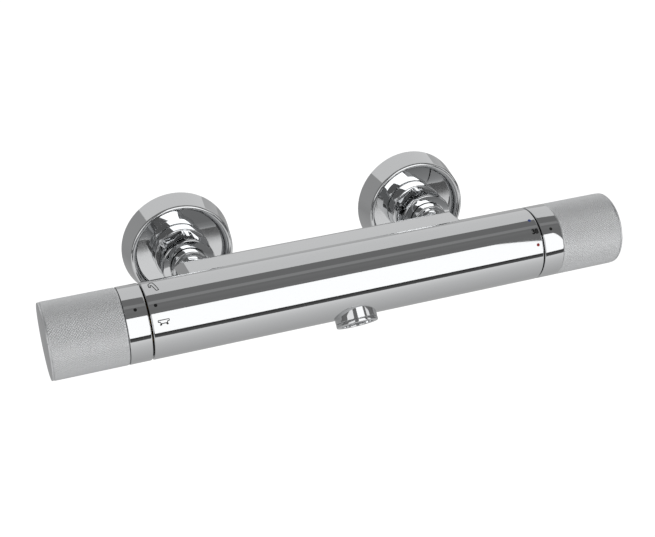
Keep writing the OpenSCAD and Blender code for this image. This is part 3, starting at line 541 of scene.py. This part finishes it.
def threaded(name, thread, start, end, chamfer):
    """A rod with a real cut thread, given by its crest's and root's radius: one tooth's outline is swept
    round and round, past both ends, and the ends are trimmed"""
    crest, root = thread
    spare_turns, over, clearance = 3, 1, 0.05
    turns = math.ceil((end - start) / pitch) + spare_turns
    low = start - spare_turns / 2 * pitch
    # One tooth from root to crest and back, its heights as parts of the pitch
    tooth = [(root, 0), (root, 0.12), (crest, 0.44), (crest, 0.56), (root, 0.88), (root, 1)]
    bpy.ops.object.select_all(action="DESELECT")
    bpy.ops.mesh.primitive_plane_add(size=MM)
    piece = bpy.context.object
    piece.name = piece.data.name = name
    bpy.ops.object.mode_set(mode="EDIT")
    bpy.ops.mesh.select_mode(type="VERT")
    bpy.ops.mesh.select_all(action="SELECT")
    bpy.ops.mesh.merge(type="CENTER")
    bpy.ops.transform.translate(value=(root * MM, 0, low * MM))
    for (r, h), (next_r, next_h) in zip(tooth, tooth[1:]):
        bpy.ops.mesh.extrude_vertices_move(TRANSFORM_OT_translate={
            "value": ((next_r - r) * MM, 0, (next_h - h) * pitch * MM)})
    bpy.ops.object.mode_set(mode="OBJECT")
    bpy.ops.object.modifier_add(type="SCREW")
    sweep = piece.modifiers[-1]
    sweep.axis, sweep.screw_offset, sweep.iterations = "Z", pitch * MM, turns
    sweep.steps = sweep.render_steps = 64
    sweep.use_merge_vertices, sweep.merge_threshold = True, 1e-7
    bpy.ops.object.modifier_apply(modifier=sweep.name)
    bpy.ops.object.mode_set(mode="EDIT")
    bpy.ops.mesh.select_all(action="SELECT")
    bpy.ops.mesh.remove_doubles(threshold=1e-6)
    bpy.ops.mesh.bisect(plane_co=(0, 0, start * MM), plane_no=(0, 0, 1), use_fill=True, clear_inner=True)
    bpy.ops.mesh.select_all(action="SELECT")
    bpy.ops.mesh.bisect(plane_co=(0, 0, end * MM), plane_no=(0, 0, 1), use_fill=True, clear_outer=True)
    bpy.ops.mesh.select_all(action="SELECT")
    bpy.ops.mesh.normals_make_consistent(inside=False)
    bpy.ops.object.mode_set(mode="OBJECT")
    blank = turned("blank", [
        (crest - chamfer, start - over), (crest - chamfer, start),
        (crest + clearance, start + chamfer + clearance), (crest + clearance, end - chamfer - clearance),
        (crest - chamfer, end), (crest - chamfer, end + over)])
    return combine(piece, blank, "INTERSECT")


nipple = threaded("nipple", half_inch_thread, nipple_thread_start, nipple_end, chamfer=0.8)
combine(nipple, turned("flange", rounded([
    (plug_fill, plug_top, 0), (plug_radius, plug_top, 0.3), (plug_radius, flange_top, 0),
    (flange_radius, flange_top, 0.2), (flange_radius, flange_foot, 0.3), (neck_radius, flange_foot, 0),
    (neck_radius, neck_foot, 0)])))
combine(nipple, rod("bore", nipple_bore, nipple_bore_start, nipple_bore_end), "DIFFERENCE")
settle(nipple, down_hose)
nipple.name = nipple.data.name = "hand_shower_nipple"
finish(nipple, polished_chrome, "base", "polished_chrome", "hose_nipple", smooth_below=25)
surface(black_rubber, "hose_nipple_o_ring")

# Inlet tails: turned brass, chromed. Each plugs into the body with its slim neck, and its flange is pulled
# against the washer by the union nut that turns around its thicker collar.
tail_flange, tail_collar, tail_neck, tail_plug, tail_bore, filter_bore = 12.7, 10.9, 8.5, 8.75, 6.2, 7.65
tail_face, tail_flange_end, tail_collar_end, filter_floor = 25.1, 28.3, 37.65, 36.8
tail_neck_end, tail_end = 62, 68.8
plug_lead, filter_lead = 0.1, 0.2
ring = rounded([
    (tail_flange, tail_face, 0.2), (tail_flange, tail_flange_end, 0.2), (tail_collar, tail_flange_end, 0),
    (tail_collar, tail_collar_end, 0.9), (tail_neck, tail_collar_end, 0.5), (tail_neck, tail_neck_end, 0),
    (tail_plug, tail_neck_end + plug_lead, 0), (tail_plug, tail_end, 0.5), (tail_bore, tail_end, 0),
    (tail_bore, filter_floor + filter_lead, 0), (filter_bore, filter_floor, 0), (filter_bore, tail_face, 0)])
inlets = ((HOT, "hot"), (COLD, "cold"))
for side, word in inlets:
    tail = turned(word + "_tail", ring + ring[:1])
    settle(tail, along_inlet(side))
    finish(tail, polished_chrome, "base", "polished_chrome", word + "_inlet_tail")

# Union nuts: machined from hexagon bar and chromed, with the corners turned off, a rounded rim in front,
# and a round skirt behind the flats that reaches into the rosette. Each stops where it was tightened.
nut_across, nut_corner, nut_thread, nut_eye, nut_fill = 30, 16, 13.25, 11.3, 12
nut_back, nut_front, nut_shoulder = 14, 31.65, 28.4
flats_start, flats_end, nut_bore_start, nut_bore_end = 13, 33, 3, 40
skirt_radius, skirt_back, skirt_front = 16.7, 9, 16.8
tightened_to = {HOT: 20, COLD: 35}


def hexagon(name, across, start, end):
    """A bar with six flats, measured across them in mm"""
    bpy.ops.object.select_all(action="DESELECT")
    bpy.ops.mesh.primitive_cylinder_add(
        vertices=6, radius=across / math.sqrt(3) * MM, depth=(end - start) * MM,
        location=(0, 0, (start + end) / 2 * MM), rotation=(0, 0, math.pi / 6))
    piece = bpy.context.object
    piece.name = piece.data.name = name
    bpy.ops.object.transform_apply()
    return piece


for side, word in inlets:
    nut = turned(word + "_nut", rounded([
        (nut_fill, nut_back, 0), (nut_corner, nut_back, 0), (nut_corner, nut_front, 1.1),
        (nut_fill, nut_front, 0)]))
    combine(nut, hexagon("flats", nut_across, flats_start, flats_end), "INTERSECT")
    combine(nut, turned("skirt", rounded([
        (nut_fill, skirt_back, 0), (skirt_radius, skirt_back, 0.8), (skirt_radius, skirt_front, 0.5),
        (nut_fill, skirt_front, 0)])))
    combine(nut, turned("bore", [
        (nut_thread, nut_bore_start), (nut_thread, nut_shoulder), (nut_eye, nut_shoulder),
        (nut_eye, nut_bore_end)]), "DIFFERENCE")
    nut.name = nut.data.name = word + "_nut"
    ease_edges(nut, 0.2, segments=3)
    settle(nut, along_inlet(side) @ Matrix.Rotation(math.radians(tightened_to[side]), 4, "Z"))
    finish(nut, polished_chrome, "base", "polished_chrome", word + "_union_nut", smooth_below=20)

# S-unions: cast and machined brass. The wall thread sits off centre, so that turning the pair of them
# sets the tap level and to the wall pipes' spacing. The larger thread passes through the rosette to the nut.
three_quarter_thread = (13.1, 11.9)
union_thread_start, union_thread_end = 3.6, 22.5
union_bore, union_bore_start, union_bore_end = 8, 1.8, 30
disc_across, disc_back, disc_front, disc_offset = 36, 0.8, 4, 3
wall_thread_start, wall_thread_end, eccentricity = -16, 1.2, 6
wall_bore, wall_bore_start = 7.5, -20
off_centre = Matrix.Translation((0, -eccentricity * MM, 0))
for side, word in inlets:
    union = threaded("union", three_quarter_thread, union_thread_start, union_thread_end, chamfer=0.9)
    disc = hexagon("disc", disc_across, disc_back, disc_front)
    ease_edges(disc, 0.5, segments=4)
    combine(union, settle(disc, Matrix.Translation((0, -disc_offset * MM, 0))))
    wall_thread = threaded("wall_thread", half_inch_thread, wall_thread_start, wall_thread_end, chamfer=0.9)
    combine(union, settle(wall_thread, off_centre))
    combine(union, settle(rod("wall_bore", wall_bore, wall_bore_start, disc_front), off_centre),
            "DIFFERENCE")
    combine(union, rod("union_bore", union_bore, union_bore_start, union_bore_end), "DIFFERENCE")
    union.name = union.data.name = word + "_eccentric_union"
    settle(union, along_inlet(side))
    finish(union, polished_chrome, "base", "polished_chrome", word + "_s_union", smooth_below=25)

# Rosettes: pressed and chromed brass cups that slide over the S-unions to hide the holes in the tiles.
# The side tapers to a rolled lip, and behind the lip the front falls in a slight bow to a flat floor.
rosette_foot, foot_height, foot_taper = 33.2, 0.5, 0.1
lip_middle, lip_radius, lip_start, lip_sweep, lip_steps = Vector((29.4, 14.1)), 1.5, 6, 130, 14
floor_bore, floor_radius, floor_back, floor_front, floor_turn = 13.25, 25.8, 7, 8.6, 1
front_bow = 0.9
inside_foot, inside_top, inside_step, inside_height = 31.9, 29.9, 29.6, 11.5


def bowed(start, end, bow, steps=24):
    """Points along a shallow arc that sinks below the straight line down between two points"""
    a, b = Vector(start), Vector(end)
    half = (b - a).length / 2
    radius = (half * half + bow * bow) / (2 * bow)
    across = (b - a).normalized()
    middle = (a + b) / 2 + Vector((across.y, -across.x)) * (radius - bow)
    return [tuple(middle + (a - middle).slerp(b - middle, k / steps) * radius) for k in range(steps + 1)]


# The outline goes up the side, over the lip, down the front to the floor, and back along the inside
lip = []
for k in range(lip_steps + 1):
    turn = math.radians(lip_start + k * lip_sweep / lip_steps)
    lip.append(tuple(lip_middle + lip_radius * Vector((math.cos(turn), math.sin(turn)))))
ring = ([(rosette_foot, 0), (rosette_foot - foot_taper, foot_height)] + lip
        + bowed(lip[-1], (floor_radius, floor_front), front_bow)
        + [(floor_bore, floor_front), (floor_bore, floor_back), (floor_radius + floor_turn, floor_back),
           (inside_step, inside_height), (inside_top, inside_height), (inside_foot, 0)])
for side, word in inlets:
    rosette = turned(word + "_wall_rosette", ring + ring[:1], sides=256)
    settle(rosette, along_inlet(side))
    finish(rosette, polished_chrome, "base", "polished_chrome", word + "_rosette", smooth_below=18)

# Inside each inlet: a rubber washer with a strainer, and a check valve, a plastic cage in which
# a light spring holds the poppet on its seat. The spring shortens as the poppet opens.

# Stainless steel wire and turned steel: bright, with drawing lines of about half a millimetre
stainless_steel = bpy.data.materials.new("drawn_stainless_steel")
tree = emptied(stainless_steel)
place = add_node(tree, "ShaderNodeTexCoord")
lines = add_node(tree, "ShaderNodeTexNoise", Vector=place.outputs["Object"], Scale=2200, Detail=2)
level = add_node(tree, "ShaderNodeMapRange", Value=lines.outputs["Fac"], To_Min=0.16, To_Max=0.32)
ripple = add_node(tree, "ShaderNodeBump", Strength=0.15, Distance=0.00003, Height=lines.outputs["Fac"])
metal = add_node(tree, "ShaderNodeBsdfPrincipled", Base_Color=colour("BDBDBC"), Metallic=1,
                 Roughness=level.outputs[0], Normal=ripple.outputs[0])
add_node(tree, "ShaderNodeOutputMaterial", Surface=metal.outputs[0])
surface(black_rubber, "hot_inlet_filter", "cold_inlet_filter")
surface(white_acetal, "hot_check_valve", "cold_check_valve")
surface(grey_acetal, "hot_check_poppet", "cold_check_poppet")
surface(stainless_steel, "hot_check_spring", "cold_check_spring")
for side, word in inlets:
    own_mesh(bpy.data.objects[word + "_check_spring"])

# Thermostat, in the cold end of the bar: a brass housing with two sealed lands, and inside it a wax element
# that pushes a plastic shuttle between the hot and the cold ports against a steel spring, which shortens.

# Machined brass: warm, with the tool's fine rings along the bar, 0.4 mm apart, and clouds of tarnish
machined_brass = bpy.data.materials.new("machined_brass")
tree = emptied(machined_brass)
place = add_node(tree, "ShaderNodeTexCoord")
tool_rings = add_node(tree, "ShaderNodeTexWave", {"wave_type": "BANDS", "bands_direction": "X"},
                      Vector=place.outputs["Object"], Scale=800, Distortion=0.6, Detail=2)
tarnish = add_node(tree, "ShaderNodeTexNoise", Vector=place.outputs["Object"], Scale=70, Detail=4)
shade = add_node(tree, "ShaderNodeMix", {"data_type": "RGBA"}, Factor=tarnish.outputs["Fac"],
                 i6=colour("D9B868"), i7=colour("C09A4E"))
level = add_node(tree, "ShaderNodeMapRange", Value=tarnish.outputs["Fac"], To_Min=0.2, To_Max=0.38)
ripple = add_node(tree, "ShaderNodeBump", Strength=0.2, Distance=0.00003, Height=tool_rings.outputs["Fac"])
metal = add_node(tree, "ShaderNodeBsdfPrincipled", Base_Color=shade.outputs[2], Metallic=1,
                 Roughness=level.outputs[0], Normal=ripple.outputs[0])
add_node(tree, "ShaderNodeOutputMaterial", Surface=metal.outputs[0])
surface(machined_brass, "thermostat_housing", "wax_element", "adjusting_nut", "temperature_spindle")
surface(black_rubber, "thermostat_o_rings")
surface(white_acetal, "thermostat_shuttle", "thermostat_stop_ring")
surface(stainless_steel, "thermostat_spring")
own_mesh(bpy.data.objects["thermostat_spring"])

# Diverter, in the hot end: two ceramic discs, lapped flat, of which one turns with the spindle to open the
# way to the bath or to the hand shower. A lock nut holds its brass housing in the bar.

# Alumina ceramic: ivory white, dense and smooth, with the faint cloud of its grain, 2.5 mm wide
alumina = bpy.data.materials.new("lapped_alumina_ceramic")
tree = emptied(alumina)
place = add_node(tree, "ShaderNodeTexCoord")
cloud = add_node(tree, "ShaderNodeTexNoise", Vector=place.outputs["Object"], Scale=400, Detail=4)
shade = add_node(tree, "ShaderNodeMix", {"data_type": "RGBA"}, Factor=cloud.outputs["Fac"],
                 i6=colour("F1EEE4"), i7=colour("E2DDCE"))
level = add_node(tree, "ShaderNodeMapRange", Value=cloud.outputs["Fac"], To_Min=0.12, To_Max=0.25)
stone = add_node(tree, "ShaderNodeBsdfPrincipled", Base_Color=shade.outputs[2], Roughness=level.outputs[0])
add_node(tree, "ShaderNodeOutputMaterial", Surface=stone.outputs[0])
surface(alumina, "fixed_ceramic_disc", "moving_ceramic_disc")
surface(machined_brass, "diverter_housing", "diverter_lock_nut", "flow_spindle")
surface(black_rubber, "diverter_o_ring", "diverter_seal")
surface(white_acetal, "diverter_stop_ring")

# Handles: each is a plastic core, screwed on the cartridge's splined spindle, in a chromed brass sleeve.
# The sleeve is a polished collar next to the body, a fine-knurled grip, and a thin cap that closes the end.
# The cap is notched round its edge.
collar_start, collar_end, sleeve_bore = 114.2, 126.1, 18.8
grip_start, grip_ends = 126.4, {HOT: 166.2, COLD: 163.6}
knurl_pitch, knurl_depth, knurl_flank = 1.5, 0.17, 0.27
plain_rim, rim_step, slack = 0.35, 0.25, 0.06
cap_radius, cap_thickness, cap_gap, cap_fill = 20.8, 1, 0.05, 3
spigot_radius, spigot_bore, spigot_length = 18.6, 16.6, 2.6
notches, notch_radius, notch_floor, notch_top = 7, 0.6, 0.5, 3
first_notch = {HOT: -14.4, COLD: 194.4}

# Satin chromium plate on knurled or blasted brass: the same metal, but each facet spreads the light.
# The blasting's pits are drawn 0.7 mm wide, coarser than they are, so that they show.
satin_chrome = bpy.data.materials.new("satin_chrome_plate")
tree = emptied(satin_chrome)
place = add_node(tree, "ShaderNodeTexCoord")
blast = add_node(tree, "ShaderNodeTexNoise", Vector=place.outputs["Object"], Scale=1400, Detail=3)
level = add_node(tree, "ShaderNodeMapRange", Value=blast.outputs["Fac"], To_Min=0.5, To_Max=0.6)
ripple = add_node(tree, "ShaderNodeBump", Strength=0.3, Distance=0.00003, Height=blast.outputs["Fac"])
plate = add_node(tree, "ShaderNodeBsdfPrincipled", Base_Color=colour("D9DADB"), Metallic=1,
                 Roughness=level.outputs[0], Normal=ripple.outputs[0])
add_node(tree, "ShaderNodeOutputMaterial", Surface=plate.outputs[0])


def tube(name, outer, inner, start, end, near_rounding, far_rounding):
    """A sleeve with its outer rims rounded"""
    ring = rounded([
        (outer, start, near_rounding), (outer, end, far_rounding), (inner, end, 0), (inner, start, 0)])
    return turned(name, ring + ring[:1], sides=256)


def knurled_grip(name, end):
    """A sleeve whose outside is rolled into small diamonds: its squares are poked and joined across their
    edges, and each diamond is raised"""
    rows = round((end - grip_start - 2 * plain_rim) / knurl_pitch)
    step = (end - grip_start - 2 * plain_rim) / rows
    across = round(2 * math.pi * bar_radius / knurl_pitch)
    valley = bar_radius - knurl_depth
    just_below = (valley - slack) * MM
    ring = [(valley - rim_step, grip_start), (valley, grip_start + plain_rim)]
    ring += [(valley, grip_start + plain_rim + k * step) for k in range(1, rows + 1)]
    ring += [(valley - rim_step, end), (sleeve_bore, end), (sleeve_bore, grip_start)]
    piece = turned(name, ring + ring[:1], sides=across)
    take(piece)
    bpy.ops.object.mode_set(mode="EDIT")
    bpy.ops.mesh.select_mode(type="FACE")
    mesh = bmesh.from_edit_mesh(piece.data)
    for face in mesh.faces:
        middle = face.calc_center_median()
        face.select_set(math.hypot(middle.x, middle.y) > just_below)
    bmesh.update_edit_mesh(piece.data)
    # A point in the middle of each square, and the squares' own edges gone, leave diamonds
    bpy.ops.mesh.poke()
    bpy.ops.mesh.select_mode(type="EDGE")
    bpy.ops.mesh.select_all(action="DESELECT")
    mesh = bmesh.from_edit_mesh(piece.data)
    for line in mesh.edges:
        poked = all(len(face.verts) == 3 for face in line.link_faces) and len(line.link_faces) == 2
        square = all(len(v.link_faces) > 4 for v in line.verts)
        line.select_set(poked and square)
    bmesh.update_edit_mesh(piece.data)
    bpy.ops.mesh.dissolve_edges(use_verts=False)
    # Each diamond is raised, with sloping flanks
    bpy.ops.mesh.select_mode(type="FACE")
    bpy.ops.mesh.select_all(action="DESELECT")
    mesh = bmesh.from_edit_mesh(piece.data)
    for face in mesh.faces:
        middle = face.calc_center_median()
        small = face.calc_area() < (knurl_pitch * MM) ** 2
        outside = math.hypot(middle.x, middle.y) > just_below
        face.select_set(small and len(face.verts) == 4 and outside)
    bmesh.update_edit_mesh(piece.data)
    bpy.ops.mesh.inset(thickness=knurl_flank * knurl_pitch * MM, depth=knurl_depth * MM,
                       use_individual=True, use_even_offset=True)
    bpy.ops.object.mode_set(mode="OBJECT")
    return piece


for side, word in ((HOT, "flow"), (COLD, "temperature")):
    handle = word + "_handle"
    collar = tube(word + "_polished_collar", bar_radius, sleeve_bore, collar_start, collar_end, 0.8, 0.25)
    settle(collar, along_bar(side))
    finish(collar, polished_chrome, handle, "polished_chrome", word + "_collar")
    end = grip_ends[side]
    grip = knurled_grip(word + "_knurled_grip", end)
    settle(grip, along_bar(side))
    finish(grip, satin_chrome, handle, "knurled_chrome", word + "_grip", smooth_below=20)
    back, front, spigot_end = end + cap_gap, end + cap_thickness, end - spigot_length
    spigot = [(cap_fill, back), (spigot_bore, back), (spigot_bore, spigot_end), (spigot_radius, spigot_end)]
    disc = rounded([
        (spigot_radius, back, 0), (cap_radius, back, 0.1), (cap_radius, front, 0.3), (cap_fill, front, 0)])
    cap = turned(word + "_end_cap", spigot + disc)
    for k in range(notches):
        angle = math.radians(first_notch[side] + side * k * 360 / notches)
        notch = rod("notch", notch_radius, end + notch_floor, end + notch_top, sides=24)
        settle(notch, Matrix.Rotation(angle, 4, "Z") @ Matrix.Translation((bar_radius * MM, 0, 0)))
        combine(cap, notch, "DIFFERENCE")
    settle(cap, along_bar(side))
    finish(cap, satin_chrome, handle, "polished_chrome", word + "_cap")
    surface(grey_acetal, word + "_core")
    surface(stainless_steel, word + "_screw")
